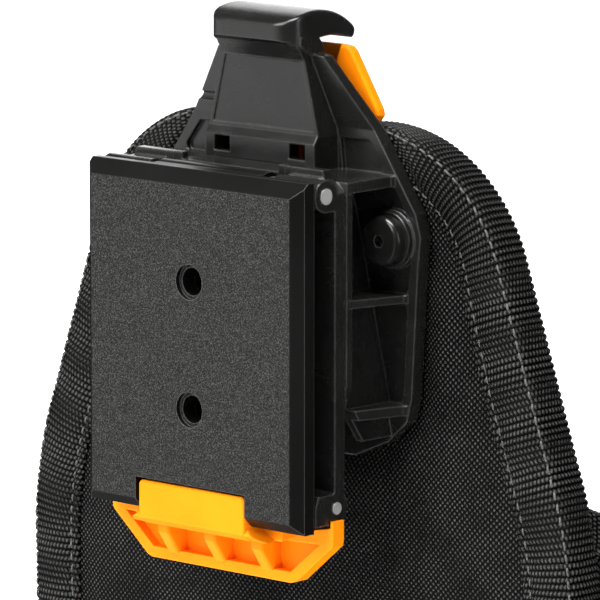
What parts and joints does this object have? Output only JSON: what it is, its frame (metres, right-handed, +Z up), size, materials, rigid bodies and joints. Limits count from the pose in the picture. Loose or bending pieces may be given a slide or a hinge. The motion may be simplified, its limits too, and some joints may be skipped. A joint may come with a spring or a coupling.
{
  "type": "electrician tool pouch",
  "caption": "Black nylon electrician tool pouch with a quick-release belt hub, orange hub latch and thumb release, padded bound back panel, main compartment, front pockets and tool loops.",
  "frame": {"origin": "on the surface the pouch stands on, under the middle of the whole object's box", "axes": "+Z up, -Y towards the wearer and the belt hub, +X to the right seen from the hub side"},
  "size_m": [0.222, 0.148, 0.3149],
  "materials": {
    "hub_plastic": "moulded black nylon with a fine spark-eroded texture",
    "black_plastic": "moulded black nylon, semi-gloss",
    "orange_plastic": "moulded orange nylon, satin",
    "pin_steel": "ground steel",
    "spring_steel": "spring steel",
    "black_steel": "black oxide steel",
    "zinc_steel": "zinc-plated steel",
    "nylon_fabric": "black ballistic nylon, coarse plain weave",
    "webbing": "black ribbed polyester webbing",
    "foam": "closed-cell padding",
    "pe_board": "polyethylene stiffener"
  },
  "bodies": {
    "pouch": {"bracket": "black_plastic", "release_pin": "pin_steel", "lock_leaf": "spring_steel", "lock_leaf_rivets": "pin_steel", "bracket_screws": "black_steel", "bracket_washers": "black_steel", "bracket_nuts": "zinc_steel", "backing_plate": "zinc_steel", "back_fabric": "nylon_fabric", "back_foam": "foam", "back_board": "pe_board", "back_lining": "nylon_fabric", "back_binding": "webbing", "main_pocket": "nylon_fabric", "main_pocket_binding": "webbing", "base_panel": "nylon_fabric", "base_board": "pe_board", "pocket_divider": "nylon_fabric", "front_pocket_left": "nylon_fabric", "front_pocket_right": "nylon_fabric", "pocket_binding_left": "webbing", "pocket_binding_right": "webbing", "side_loop_left": "webbing", "side_loop_right": "webbing", "driver_loops": "webbing", "pocket_rivets": "zinc_steel"},
    "hub": {"hub_body": "black_plastic", "hub_hinge_pin": "pin_steel", "hub_hinge_springs": "spring_steel", "latch_pin": "pin_steel"},
    "plate": {"hub_plate": "hub_plastic"},
    "latch": {"hub_latch": "orange_plastic", "latch_clip": "spring_steel"},
    "lever": {"release_lever": "orange_plastic"}
  },
  "joints": [
    {"name": "hub_release", "type": "slide", "parent": "pouch", "child": "hub", "axis": [0, 0, -1], "range_m": [0, 0.095], "deforming": ["lock_leaf"]},
    {"name": "plate_hinge", "type": "hinge", "parent": "hub", "child": "plate", "pos_m": [0, -0.0623, 0.2661], "axis": [-1, 0, 0], "range_deg": [0, 90], "deforming": ["latch_clip"]},
    {"name": "latch_hinge", "type": "hinge", "parent": "hub", "child": "latch", "pos_m": [0, -0.0578, 0.1762], "axis": [1, 0, 0], "range_deg": [0, 30], "stiffness_Nm_per_rad": 0.05, "springref_deg": -17.19},
    {"name": "lever_hinge", "type": "hinge", "parent": "pouch", "child": "lever", "pos_m": [0, -0.036, 0.286], "axis": [1, 0, 0], "range_deg": [0, 8], "stiffness_Nm_per_rad": 0.4, "springref_deg": -8.59, "deforming": ["lock_leaf"]}
  ]
}
